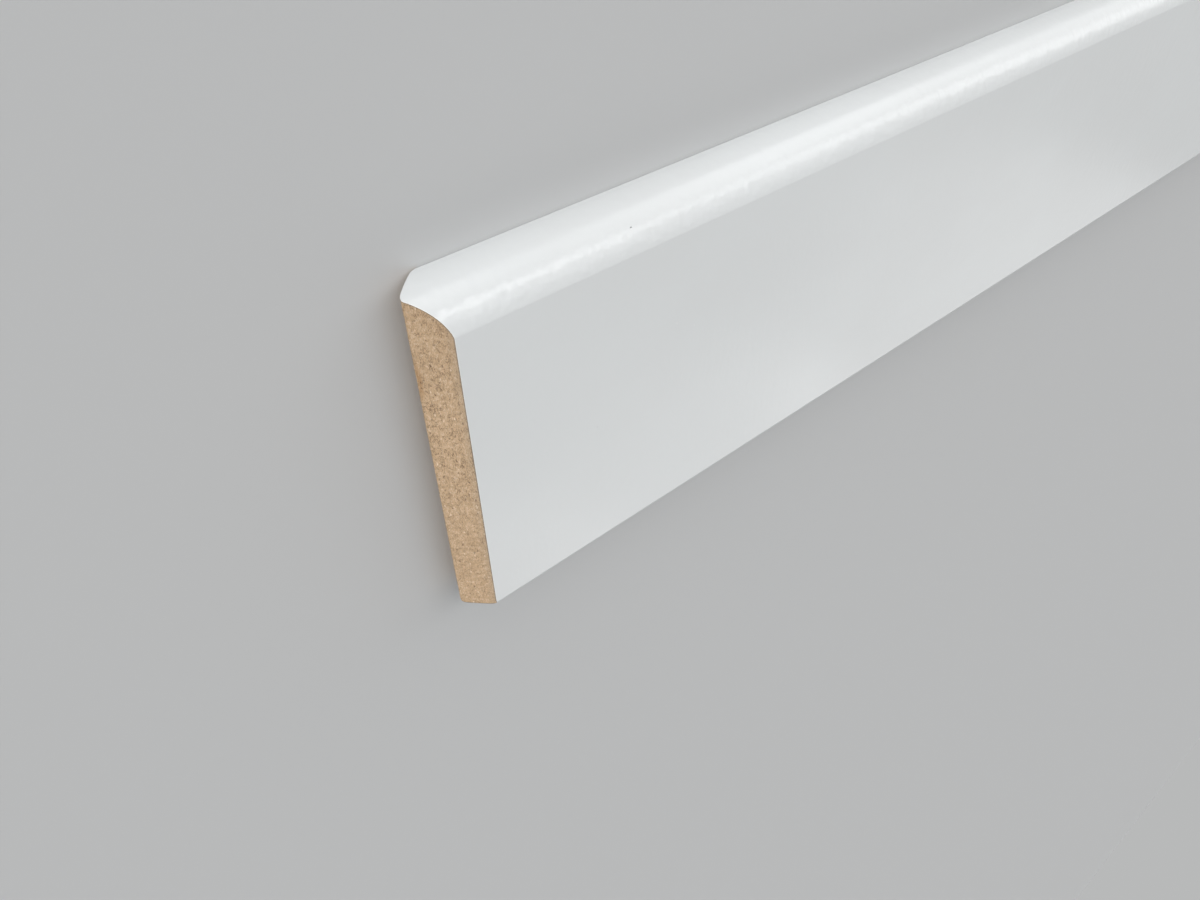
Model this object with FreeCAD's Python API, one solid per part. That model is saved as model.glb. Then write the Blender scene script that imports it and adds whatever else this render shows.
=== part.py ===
"""Length of bullnose skirting board, lying on its back with its face up.

X runs along the board, -Y is towards its moulded top edge, +Y is towards its foot
and +Z is out of its face. The origin is under the middle of the board.
"""
import FreeCAD, Part
import math
import os

# Driving dimensions of the stock, in millimetres
STOCK_LENGTH = 2400.0
BOARD_HEIGHT = 94.0
THICKNESS = 14.5

# Moulded top edge: a round nose on the face side, then a narrow flat land to the back
TOP_LAND = 2.15
NOSE_OVERCUT = 0.35

# Arrises eased before the coat goes on
TOP_BACK_ARRIS = 1.0
FOOT_FRONT_ARRIS = 0.9
FOOT_BACK_ARRIS = 0.7

# Near end: a mitre from the face and a mitre from the back meet in an upright point
POINT_DEPTH = 6.7
FACE_MITRE_DEGREES = 45.0
BACK_MITRE_DEGREES = 45.0

# How far a cutting tool runs past the board's edges
TOOL_OVERRUN = 5.0


def place(along, depth, height):
    """Turn a station, a depth behind the face and a height over the foot into a point."""
    return FreeCAD.Vector(along, BOARD_HEIGHT / 2 - height, THICKNESS - depth)


def section_wire(along):
    """Closed outline of the board's section at one station."""
    nose_radius = THICKNESS - TOP_LAND + NOSE_OVERCUT
    nose_centre_depth = THICKNESS - TOP_LAND
    nose_centre_height = BOARD_HEIGHT - nose_radius
    crease_rise = math.sqrt(nose_radius ** 2 - nose_centre_depth ** 2)
    crease_height = nose_centre_height + crease_rise
    nose_start_angle = math.atan2(crease_rise, -nose_centre_depth)
    nose_middle_angle = (nose_start_angle + math.pi / 2) / 2

    def at(depth, height):
        return place(along, depth, height)

    def on_circle(depth, height, radius, angle):
        return at(depth + radius * math.cos(angle), height + radius * math.sin(angle))

    def arris(depth, height, radius, middle_angle):
        """Three points of a quarter round about a centre, in outline order."""
        spread = math.pi / 4
        return [
            on_circle(depth, height, radius, middle_angle + step * spread)
            for step in (1, 0, -1)
        ]

    crease = at(0, crease_height)
    nose_middle = on_circle(nose_centre_depth, nose_centre_height, nose_radius, nose_middle_angle)
    nose_end = at(nose_centre_depth, BOARD_HEIGHT)
    top_back = arris(
        THICKNESS - TOP_BACK_ARRIS, BOARD_HEIGHT - TOP_BACK_ARRIS, TOP_BACK_ARRIS, math.radians(45)
    )
    foot_back = arris(
        THICKNESS - FOOT_BACK_ARRIS, FOOT_BACK_ARRIS, FOOT_BACK_ARRIS, math.radians(-45)
    )
    foot_front = arris(FOOT_FRONT_ARRIS, FOOT_FRONT_ARRIS, FOOT_FRONT_ARRIS, math.radians(-135))

    edges = [
        Part.Arc(crease, nose_middle, nose_end).toShape(),
        Part.makeLine(nose_end, top_back[0]),
        Part.Arc(*top_back).toShape(),
        Part.makeLine(top_back[2], foot_back[0]),
        Part.Arc(*foot_back).toShape(),
        Part.makeLine(foot_back[2], foot_front[0]),
        Part.Arc(*foot_front).toShape(),
        Part.makeLine(foot_front[2], crease),
    ]
    return Part.Wire(edges)


def mitre_tool(point_along, side_depth, degrees):
    """Wedge that takes off what lies past the cut from the point to one face."""
    towards_side = math.copysign(1.0, side_depth - POINT_DEPTH)
    outer_depth = side_depth + towards_side * TOOL_OVERRUN
    setback = abs(outer_depth - POINT_DEPTH) * math.tan(math.radians(degrees))
    foot = -TOOL_OVERRUN
    corners = [
        place(point_along, POINT_DEPTH, foot),
        place(point_along - setback, outer_depth, foot),
        place(point_along + TOOL_OVERRUN, outer_depth, foot),
        place(point_along + TOOL_OVERRUN, POINT_DEPTH, foot),
    ]
    wedge_face = Part.Face(Part.makePolygon(corners + corners[:1]))
    run = BOARD_HEIGHT + 2 * TOOL_OVERRUN
    return wedge_face.extrude(FreeCAD.Vector(0, -run, 0))


def skirting_board():
    """The whole board: the section run along the stock, then both mitres cut."""
    square_end = -STOCK_LENGTH / 2
    point = STOCK_LENGTH / 2
    stock = Part.Face(section_wire(square_end)).extrude(FreeCAD.Vector(STOCK_LENGTH, 0, 0))
    face_mitre = mitre_tool(point, 0.0, FACE_MITRE_DEGREES)
    back_mitre = mitre_tool(point, THICKNESS, BACK_MITRE_DEGREES)
    return stock.cut(face_mitre.fuse(back_mitre)).removeSplitter()


def write_part(name, shape):
    """Check one piece and write its STEP file."""
    solid = shape.Solids[0]
    if len(shape.Solids) != 1 or not solid.isValid():
        raise ValueError(name + " isn't one valid solid")
    solid.exportStep(os.path.join("parts", name + ".step"))
    box = solid.BoundBox
    print(name, "volume", round(solid.Volume), "mm3", "faces", len(solid.Faces))
    print("box", [round(v, 3) for v in (box.XMin, box.YMin, box.ZMin, box.XMax, box.YMax, box.ZMax)])


os.makedirs("parts", exist_ok=True)
write_part("skirting_board", skirting_board())
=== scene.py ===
"""Length of bullnose skirting board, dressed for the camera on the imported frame.

The board lies on its back with its face up. X runs along it, -Y is towards its moulded
top edge, +Y is towards its foot and +Z is out of its face. A depth is measured in from
the face and a height is measured up from the foot. Shapes are in metres, and the sizes
that a finish holds are in millimetres.
"""

import logging
import math
from collections.abc import Callable, Iterable
from dataclasses import dataclass, field
from enum import Enum
from typing import ClassVar, Self

import bpy
from mathutils import Matrix, Vector


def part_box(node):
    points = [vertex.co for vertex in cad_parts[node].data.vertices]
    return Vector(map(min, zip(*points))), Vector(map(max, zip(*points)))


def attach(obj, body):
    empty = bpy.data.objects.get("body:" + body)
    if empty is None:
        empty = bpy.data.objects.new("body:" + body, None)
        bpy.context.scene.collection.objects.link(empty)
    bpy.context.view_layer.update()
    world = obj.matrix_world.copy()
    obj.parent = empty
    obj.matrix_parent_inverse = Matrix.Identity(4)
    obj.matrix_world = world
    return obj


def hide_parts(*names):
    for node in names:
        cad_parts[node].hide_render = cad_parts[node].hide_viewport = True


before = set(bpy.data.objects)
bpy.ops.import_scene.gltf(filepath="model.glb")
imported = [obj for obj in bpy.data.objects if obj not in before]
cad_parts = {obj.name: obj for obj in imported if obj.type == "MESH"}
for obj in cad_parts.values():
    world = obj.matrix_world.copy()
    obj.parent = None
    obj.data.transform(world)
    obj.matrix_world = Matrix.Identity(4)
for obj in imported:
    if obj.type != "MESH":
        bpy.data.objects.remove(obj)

MILLIMETRE = 0.001
MIDDLE = 0.5
BOARD_NODE = "skirting_board"
BODY = "root"

LOG = logging.getLogger("skirting")

Socket = bpy.types.NodeSocket
Triple = tuple[float, float, float]
Colour = tuple[float, float, float]
Span = tuple[float, float]
Value = Socket | float | int | bool | str | Triple | bpy.types.ID

WHITE: Colour = (1.0, 1.0, 1.0)


class Zone(Enum):
    """Parts of the board's surface, each with a finish of its own."""

    COAT = "Coat"
    CUT = "Cut"
    BACK = "Back"


class Shape(Enum):
    """Kinds of node tree that a wiring can fill."""

    GEOMETRY = "GeometryNodeTree"
    SHADER = "ShaderNodeTree"


@dataclass(frozen=True)
class Grain:
    """How fine a noise is, all ways alike or by X, Y and Z, and how broken up it is."""

    scale: float | Triple
    detail: float = 2.0
    roughness: float = 0.5


@dataclass
class Wiring:
    """Adds nodes to one node tree and joins them up."""

    shape: ClassVar[Shape]
    tree: bpy.types.NodeTree
    start: bpy.types.Node | None = None
    end: bpy.types.Node | None = None

    @classmethod
    def group(cls, name: str) -> Self:
        """Start a node group.

        Args:
            name: What the group is called.

        Returns:
            The wiring of the new, empty group.
        """
        tree = bpy.data.node_groups.new(name, cls.shape.value)
        if cls.shape is Shape.GEOMETRY:
            tree.is_modifier = True
        return cls(tree, tree.nodes.new("NodeGroupInput"), tree.nodes.new("NodeGroupOutput"))

    def takes(self, kind: str, *names: str, default: Value | None = None) -> None:
        """Give the group named inputs.

        Args:
            kind: Socket type without its NodeSocket prefix.
            names: What the inputs are called.
            default: Value they have until something else is set.
        """
        for name in names:
            socket = self.tree.interface.new_socket(
                name=name, in_out="INPUT", socket_type="NodeSocket" + kind
            )
            if default is not None:
                socket.default_value = default

    def gives(self, kind: str, **sources: Socket) -> None:
        """Give the group named outputs, each fed by a socket.

        Args:
            kind: Socket type without its NodeSocket prefix.
            sources: The sockets that feed them, by the outputs' names.
        """
        for name, source in sources.items():
            self.tree.interface.new_socket(
                name=name, in_out="OUTPUT", socket_type="NodeSocket" + kind
            )
            self.feed(self.end.inputs[name], source)

    def asked(self, name: str) -> Socket:
        """Socket inside the group that carries one of its named inputs."""
        return self.start.outputs[name]

    def feed(self, socket: Socket, value: Value) -> None:
        """Join a socket to another one, or set its value.

        Args:
            socket: Input to feed.
            value: Output socket to join, or a plain value.
        """
        if isinstance(value, bpy.types.NodeSocket):
            self.tree.links.new(value, socket)
        elif socket.type == "RGBA":
            socket.default_value = (*value, 1.0)
        else:
            socket.default_value = value

    def add(
        self, kind: str, inputs: dict[str | int, Value] | None = None, **settings: Value
    ) -> bpy.types.Node:
        """Add a node.

        Args:
            kind: Blender's name for the type of node.
            inputs: What goes into its sockets, by name or by number.
            settings: The node's own options.

        Returns:
            The new node.
        """
        node = self.tree.nodes.new(kind)
        for option, choice in settings.items():
            setattr(node, option, choice)
        for key, value in (inputs or {}).items():
            self.feed(node.inputs[key], value)
        return node

    def math(self, operation: str, *terms: Value) -> Socket:
        """Result of one Math node on up to three terms."""
        inputs = dict(enumerate(terms))
        return self.add("ShaderNodeMath", inputs, operation=operation).outputs[0]

    def swing(self, value: Value, size: Value, base: Value = 0.0) -> Socket:
        """A value's swing about the middle, times a size, on top of a base."""
        return self.math("MULTIPLY_ADD", self.math("SUBTRACT", value, MIDDLE), size, base)

    def vector(self, operation: str, *terms: Value) -> Socket:
        """Result of one Vector Math node: a number for a length, and otherwise a vector."""
        node = self.add("ShaderNodeVectorMath", dict(enumerate(terms)), operation=operation)
        return node.outputs["Value" if operation == "LENGTH" else "Vector"]

    def scaled(self, vector: Value, factor: Value) -> Socket:
        """A vector times a number."""
        node = self.add("ShaderNodeVectorMath", {0: vector, "Scale": factor}, operation="SCALE")
        return node.outputs["Vector"]

    def parts(self, vector: Value) -> tuple[Socket, Socket, Socket]:
        """The X, Y and Z of a vector."""
        node = self.add("ShaderNodeSeparateXYZ", {0: vector})
        return node.outputs[0], node.outputs[1], node.outputs[2]

    def combine(self, x: Value, y: Value, z: Value) -> Socket:
        """A vector from its X, Y and Z."""
        return self.add("ShaderNodeCombineXYZ", {0: x, 1: y, 2: z}).outputs[0]

    def ramp(
        self, value: Value, start: Value, stop: Value, low: Value = 0.0, high: Value = 1.0
    ) -> Socket:
        """A smooth step of a value.

        Args:
            value: Number that is mapped.
            start: Where the step begins.
            stop: Where it ends.
            low: Result at its start.
            high: Result at its end.

        Returns:
            The mapped number.
        """
        inputs = {"Value": value, 1: start, 2: stop, 3: low, 4: high}
        node = self.add("ShaderNodeMapRange", inputs, interpolation_type="SMOOTHSTEP")
        return node.outputs["Result"]

    def noise(self, vector: Value, grain: Grain) -> Socket:
        """A noise that swings about the middle.

        Args:
            vector: Place that the noise is read at.
            grain: How fine and how broken up it is.

        Returns:
            The noise's value.
        """
        scale = grain.scale
        if isinstance(scale, tuple):
            vector, scale = self.vector("MULTIPLY", vector, scale), 1.0
        inputs = {
            "Vector": vector,
            "Scale": scale,
            "Detail": grain.detail,
            "Roughness": grain.roughness,
        }
        return self.add("ShaderNodeTexNoise", inputs).outputs[0]


@dataclass
class ShaderWiring(Wiring):
    """Wiring of a material or of a part of one."""

    shape: ClassVar[Shape] = Shape.SHADER

    def here(self) -> Socket:
        """The shaded point's place in the frame."""
        return self.add("ShaderNodeTexCoord").outputs["Object"]

    def mask(self, name: str) -> Socket:
        """A number stored on the mesh, as the material reads it."""
        return self.add("ShaderNodeAttribute", attribute_name=name).outputs["Fac"]

    def blend(self, factor: Value, first: Value, second: Value) -> Socket:
        """A mix of two colours.

        Args:
            factor: How much of the second colour shows, from 0 to 1.
            first: Colour at 0.
            second: Colour at 1.

        Returns:
            The mixed colour.
        """
        node = self.add("ShaderNodeMix", data_type="RGBA", blend_type="MIX")
        for key, value in (("Factor", factor), (6, first), (7, second)):
            self.feed(node.inputs[key], value)
        return node.outputs[2]

    def bump(self, height: Value, distance: float, strength: float = 1.0) -> Socket:
        """Normal of a surface with relief.

        Args:
            height: The relief.
            distance: How deep it is, in millimetres.
            strength: How much of it shows.

        Returns:
            The normal.
        """
        inputs = {"Strength": strength, "Distance": distance * MILLIMETRE, "Height": height}
        return self.add("ShaderNodeBump", inputs).outputs["Normal"]

    def place(self, group: bpy.types.NodeTree, **values: Value) -> dict[str, Socket]:
        """Put a shader group into the tree.

        Args:
            group: The shared group.
            values: What goes into its inputs, with an underscore for each space.

        Returns:
            The group's outputs by name.
        """
        node = self.tree.nodes.new("ShaderNodeGroup")
        node.node_tree = group
        for name, value in values.items():
            self.feed(node.inputs[name.replace("_", " ")], value)
        return {output.name: output for output in node.outputs}


@dataclass
class MeshWiring(Wiring):
    """Wiring of a Geometry Nodes tree."""

    shape: ClassVar[Shape] = Shape.GEOMETRY

    def here(self) -> Socket:
        """Each point's place."""
        return self.add("GeometryNodeInputPosition").outputs[0]

    def facing(self) -> Socket:
        """The way that each point or face looks."""
        return self.add("GeometryNodeInputNormal").outputs[0]

    def read(self, name: str) -> Socket:
        """A number stored on the mesh."""
        node = self.add("GeometryNodeInputNamedAttribute", {"Name": name}, data_type="FLOAT")
        return node.outputs["Attribute"]

    def store(self, geometry: Socket, name: str, value: Socket, domain: str) -> Socket:
        """Store a number on geometry.

        Args:
            geometry: What takes the number.
            name: What the number is called there.
            value: The number.
            domain: Whether each point or each instance has one.

        Returns:
            The geometry with its number.
        """
        inputs = {"Geometry": geometry, "Name": name, "Value": value}
        kind = "GeometryNodeStoreNamedAttribute"
        return self.add(kind, inputs, data_type="FLOAT", domain=domain).outputs["Geometry"]

    def moved(self, geometry: Socket, **how: Socket) -> Socket:
        """Geometry moved to a Position or by an Offset."""
        node = self.add("GeometryNodeSetPosition", {"Geometry": geometry, **how})
        return node.outputs["Geometry"]

    def covered(self, geometry: Socket, material: Socket, chosen: Value = True) -> Socket:
        """Geometry with a material on its chosen faces."""
        inputs = {"Geometry": geometry, "Selection": chosen, "Material": material}
        return self.add("GeometryNodeSetMaterial", inputs).outputs["Geometry"]

    def smooth(self, geometry: Socket) -> Socket:
        """Geometry with smooth faces."""
        inputs = {"Geometry": geometry, "Shade Smooth": True}
        return self.add("GeometryNodeSetShadeSmooth", inputs, domain="FACE").outputs["Geometry"]

    def real(self, geometry: Socket) -> Socket:
        """Geometry with its instances made plain mesh."""
        return self.add("GeometryNodeRealizeInstances", {0: geometry}).outputs[0]


@dataclass(frozen=True)
class Section:
    """The board's section, with its sizes in metres."""

    height: float
    thickness: float
    land: float = 2.15 * MILLIMETRE
    nose_overcut: float = 0.35 * MILLIMETRE
    top_back_arris: float = 1.0 * MILLIMETRE
    foot_front_arris: float = 0.9 * MILLIMETRE
    foot_back_arris: float = 0.7 * MILLIMETRE
    point_depth: float = 6.7 * MILLIMETRE
    rows: int = 260
    nose_steps: int = 32
    land_steps: int = 4
    arris_steps: int = 6

    @property
    def nose_depth(self) -> float:
        """Depth of the nose's centre."""
        return self.thickness - self.land

    @property
    def nose_radius(self) -> float:
        """Radius of the round nose."""
        return self.nose_depth + self.nose_overcut

    @property
    def nose_height(self) -> float:
        """Height of the nose's centre."""
        return self.height - self.nose_radius

    @staticmethod
    def arris(radius: float, past: float) -> float:
        """How far a quarter round falls away, past where it starts."""
        reach = min(max(0.0, past), radius)
        return radius - math.sqrt(radius**2 - reach**2)

    def top(self, depth: float) -> float:
        """Follow the nose and land of the outline's upper side.

        Args:
            depth: Depth in from the face.

        Returns:
            Height of that side at the depth.
        """
        if depth < self.nose_depth:
            across = self.nose_depth - depth
            return self.nose_height + math.sqrt(self.nose_radius**2 - across**2)
        arris_start = self.thickness - self.top_back_arris
        return self.height - self.arris(self.top_back_arris, depth - arris_start)

    def foot(self, depth: float) -> float:
        """Follow the eased foot of the outline's lower side.

        Args:
            depth: Depth in from the face.

        Returns:
            Height of that side at the depth.
        """
        arris_start = self.thickness - self.foot_back_arris
        front = self.arris(self.foot_front_arris, self.foot_front_arris - depth)
        return max(front, self.arris(self.foot_back_arris, depth - arris_start))

    def columns(self) -> list[float]:
        """Depths at which the section is divided.

        Returns:
            Depths from the face to the back, close together where the nose is steep,
            with one at the depth of the end's point.
        """
        crease = math.asin(self.nose_depth / self.nose_radius)
        point = math.asin((self.nose_depth - self.point_depth) / self.nose_radius)
        depths = []
        for start, stop in ((crease, point), (point, 0.0)):
            for step in range(self.nose_steps):
                angle = start + (stop - start) * step / self.nose_steps
                depths.append(self.nose_depth - self.nose_radius * math.sin(angle))
        arris_start = self.thickness - self.top_back_arris
        land = arris_start - self.nose_depth
        for step in range(self.land_steps):
            depths.append(self.nose_depth + land * step / self.land_steps)
        for step in range(self.arris_steps + 1):
            turn = math.pi / 2 * step / self.arris_steps
            depths.append(arris_start + self.top_back_arris * math.sin(turn))
        depths[0] = 0.0
        return depths

    def outline(self) -> list[tuple[float, float]]:
        """The closed outline as depths and heights.

        Returns:
            Points in order: along the foot to the back, up the back, along the top to
            the face and down the face. Every column has a point at its foot and its top.
        """
        depths = self.columns()
        low_back, high_back = self.foot(self.thickness), self.top(self.thickness)
        low_face, high_face = self.foot(0.0), self.top(0.0)
        points = [(depth, self.foot(depth)) for depth in depths[:-1]]
        for row in range(self.rows):
            points.append((self.thickness, low_back + (high_back - low_back) * row / self.rows))
        points += [(depth, self.top(depth)) for depth in reversed(depths[1:])]
        for row in range(self.rows):
            points.append((0.0, high_face + (low_face - high_face) * row / self.rows))
        return points

    def spot(self, along: float, depth: float, height: float) -> Vector:
        """Point of the frame at a place along the board, a depth and a height."""
        return Vector((along, self.height / 2 - height, self.thickness - depth))


def new_object(name: str, mesh: bpy.types.Mesh) -> bpy.types.Object:
    """Put a mesh into the scene as an object at the origin.

    Args:
        name: What the object is called.
        mesh: Its mesh.

    Returns:
        The object.
    """
    thing = bpy.data.objects.new(name, mesh)
    bpy.context.scene.collection.objects.link(thing)
    return thing


def grown(thing: bpy.types.Object, tree: bpy.types.NodeTree, values: dict[str, Value]) -> None:
    """Run a Geometry Nodes tree on an object and keep the result as its plain mesh.

    Args:
        thing: Object that the tree starts from.
        tree: The tree.
        values: What goes into its named inputs.
    """
    modifier = thing.modifiers.new(tree.name, "NODES")
    modifier.node_group = tree
    inputs = (item for item in tree.interface.items_tree if item.in_out == "INPUT")
    sockets = {item.name: item.identifier for item in inputs}
    for name, value in values.items():
        modifier[sockets[name]] = value
    evaluated = thing.evaluated_get(bpy.context.evaluated_depsgraph_get())
    mesh = bpy.data.meshes.new_from_object(evaluated)
    thing.modifiers.remove(modifier)
    for index in reversed(range(len(mesh.materials))):
        if mesh.materials[index] is None:
            mesh.materials.pop(index=index)
    thing.data = mesh
    mesh.name = thing.name


def declare(thing: bpy.types.Object) -> None:
    """Say that a piece rides on the board's body, and log its count of triangles.

    Args:
        thing: The piece.
    """
    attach(thing, BODY)
    triangles = sum(len(face.vertices) - 2 for face in thing.data.polygons)
    LOG.info("%s: %d triangles", thing.name, triangles)


@dataclass(frozen=True)
class FibreGroup:
    """Shared shader group: pressed wood fibre, as a saw cut or a sanded skin shows it.

    Fibres, cells and curls are as fine as the fibre asked for, and the others are per metre.
    """

    fibres: Grain = Grain(0.9, roughness=0.6)
    strands: Grain = Grain((1500.0, 190.0, 1500.0), roughness=0.55)
    strand_share: float = 0.28
    clouds: Grain = Grain(130.0)
    cloud_share: float = 0.04
    cell_scale: float = 0.42
    cell_reach: Span = (0.12, 0.42)
    pit_picks: Span = (0.955, 0.975)
    fleck_picks: Span = (0.11, 0.07)
    pit_sink: float = 1.5
    curls: Grain = Grain(0.56, detail=1.0)
    # The crest lines are painted highlights and the furrow lines painted shade, standing in for
    # light on raised fibre.
    crest: float = 0.55
    furrow: float = 0.45
    line_reach: Span = (0.01, 0.06)
    patches: Grain = Grain(700.0, detail=1.0)
    patch_shift: Triple = (0.31, 0.17, 0.05)
    highlight_patches: Span = (0.49, 0.56)
    furrow_shade_patches: Span = (0.54, 0.47)

    def build(self) -> bpy.types.NodeTree:
        """Make the group.

        Returns:
            A group whose Tone is about 0.5 with darker and lighter fibres, whose masks are
            the painted highlights on fibre crests, the painted shade in the furrows beside them,
            Flecks and Pits, and whose Height is for a Bump node.
        """
        wiring = ShaderWiring.group("pressed_fibre")
        wiring.takes("Float", "Fibre Length", "Fibre Width", "Contrast")
        here = wiring.here()
        along = wiring.math("DIVIDE", 1 / MILLIMETRE, wiring.asked("Fibre Length"))
        across = wiring.math("DIVIDE", 1 / MILLIMETRE, wiring.asked("Fibre Width"))
        counted = wiring.vector("MULTIPLY", here, wiring.combine(across, along, across))
        fibres = wiring.noise(counted, self.fibres)
        tone = wiring.math("SUBTRACT", fibres, MIDDLE)
        tone = wiring.swing(wiring.noise(here, self.strands), self.strand_share, tone)
        tone = wiring.swing(wiring.noise(here, self.clouds), self.cloud_share, tone)
        tone = wiring.math("MULTIPLY_ADD", tone, wiring.asked("Contrast"), MIDDLE)
        cells = wiring.add("ShaderNodeTexVoronoi", {"Vector": counted, "Scale": self.cell_scale})
        pick = wiring.parts(cells.outputs["Color"])[0]
        near = wiring.ramp(cells.outputs["Distance"], *self.cell_reach, 1.0, 0.0)
        pits = wiring.math("MULTIPLY", near, wiring.ramp(pick, *self.pit_picks))
        flecks = wiring.math("MULTIPLY", near, wiring.ramp(pick, *self.fleck_picks))
        curls = wiring.noise(counted, self.curls)
        patches = wiring.noise(wiring.vector("ADD", here, self.patch_shift), self.patches)
        # The crest lines carry painted highlights and the furrow lines painted shade.
        wiring.gives(
            "Float",
            Tone=tone,
            Strokes=self.lines(wiring, curls, self.crest, patches, self.highlight_patches),
            Gaps=self.lines(wiring, curls, self.furrow, patches, self.furrow_shade_patches),
            Flecks=flecks,
            Pits=pits,
            Height=wiring.math("MULTIPLY_ADD", pits, -self.pit_sink, fibres),
        )
        return wiring.tree

    def lines(
        self, wiring: ShaderWiring, curls: Socket, level: float, patches: Socket, where: Span
    ) -> Socket:
        """Thin curled lines in some patches of the surface, masks for painted highlights on crests
        and painted shade in furrows.

        Args:
            wiring: The group's wiring.
            curls: Noise that the lines follow.
            level: Value of that noise in the middle of a line.
            patches: Noise that picks the patches.
            where: Values of that noise from where there are none to where all show.

        Returns:
            The lines as a mask.
        """
        off = wiring.math("ABSOLUTE", wiring.math("SUBTRACT", curls, level))
        line = wiring.ramp(off, *self.line_reach, 1.0, 0.0)
        return wiring.math("MULTIPLY", line, wiring.ramp(patches, *where))


@dataclass(frozen=True)
class OutlineGroup:
    """Shared shader group: how far a point is inside the section, and how deep in the board."""

    section: Section

    def build(self) -> bpy.types.NodeTree:
        """Make the group.

        Returns:
            A group with Depth behind the face, Height over the foot and Inside, the
            distance in from the coated outline, all in millimetres.
        """
        wiring = ShaderWiring.group("section_place")
        sizes = {
            "Board Height": self.section.height,
            "Thickness": self.section.thickness,
            "Nose Radius": self.section.nose_radius,
            "Nose Depth": self.section.nose_depth,
        }
        for name, size in sizes.items():
            wiring.takes("Float", name, default=size / MILLIMETRE)
        board_height, thickness, radius, nose_depth = (wiring.asked(name) for name in sizes)
        _along, across, out = wiring.parts(wiring.scaled(wiring.here(), 1 / MILLIMETRE))
        depth = wiring.math("SUBTRACT", thickness, out)
        height = wiring.math("SUBTRACT", wiring.math("MULTIPLY", board_height, 0.5), across)
        before = wiring.math("MAXIMUM", 0.0, wiring.math("SUBTRACT", nose_depth, depth))
        centre = wiring.math("SUBTRACT", board_height, radius)
        above = wiring.math("MAXIMUM", 0.0, wiring.math("SUBTRACT", height, centre))
        reach = wiring.vector("LENGTH", wiring.combine(before, above, 0.0))
        inside = wiring.math("SUBTRACT", radius, reach)
        inside = wiring.math("MINIMUM", inside, wiring.math("MINIMUM", depth, height))
        wiring.gives("Float", Depth=depth, Height=height, Inside=inside)
        return wiring.tree


@dataclass(frozen=True)
class CoatGroup:
    """Shared shader group: the fine skin of a sprayed coat, with its grains per metre."""

    peel: Grain = Grain((460.0, 320.0, 320.0), 1.0, 0.4)
    wave: Grain = Grain((55.0, 110.0, 110.0), 1.0, 0.4)
    marks: Grain = Grain((420.0, 30.0, 30.0), 1.0, 0.4)
    clouds: Grain = Grain((15.6, 26.0, 26.0), 3.0)

    def build(self) -> bpy.types.NodeTree:
        """Make the group.

        Returns:
            A group with a Tone about 0.5, and a Height made of orange peel, the cutter's
            faint ripple along the board and slow waves.
        """
        wiring = ShaderWiring.group("sprayed_coat")
        wiring.takes("Float", "Peel", "Ripple", "Wave")
        here = wiring.here()
        height = wiring.swing(wiring.noise(here, self.peel), wiring.asked("Peel"))
        for name, grain in (("Wave", self.wave), ("Ripple", self.marks)):
            noise = wiring.noise(here, grain)
            height = wiring.math("MULTIPLY_ADD", noise, wiring.asked(name), height)
        wiring.gives("Float", Tone=wiring.noise(here, self.clouds), Height=height)
        return wiring.tree


@dataclass
class SharedGroups:
    """The shader groups that several finishes use."""

    section: Section
    fibre: bpy.types.NodeTree = field(init=False)
    outline: bpy.types.NodeTree = field(init=False)
    coat: bpy.types.NodeTree = field(init=False)

    def __post_init__(self) -> None:
        """Build each group once."""
        self.fibre = FibreGroup().build()
        self.outline = OutlineGroup(self.section).build()
        self.coat = CoatGroup().build()


def new_material(name: str) -> tuple[bpy.types.Material, ShaderWiring, bpy.types.NodeInputs]:
    """Start a material.

    Args:
        name: What the material is called.

    Returns:
        The material, the wiring of its nodes, and the inputs of its Principled node, which
        is joined to the output.
    """
    material = bpy.data.materials.new(name)
    material.use_nodes = True
    material.node_tree.nodes.clear()
    wiring = ShaderWiring(material.node_tree)
    shader = wiring.add("ShaderNodeBsdfPrincipled")
    wiring.add("ShaderNodeOutputMaterial", {"Surface": shader.outputs["BSDF"]})
    return material, wiring, shader.inputs


@dataclass(frozen=True)
class Fibre:
    """How long and wide a finish's fibres are, in millimetres, and how much they differ."""

    length: float
    width: float
    contrast: float

    def place(self, wiring: ShaderWiring, groups: SharedGroups) -> dict[str, Socket]:
        """Put the shared fibre into a material.

        Args:
            wiring: The material's wiring.
            groups: The shared groups.

        Returns:
            The fibre's outputs by name.
        """
        return wiring.place(
            groups.fibre,
            Fibre_Length=self.length,
            Fibre_Width=self.width,
            Contrast=self.contrast,
        )


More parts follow.
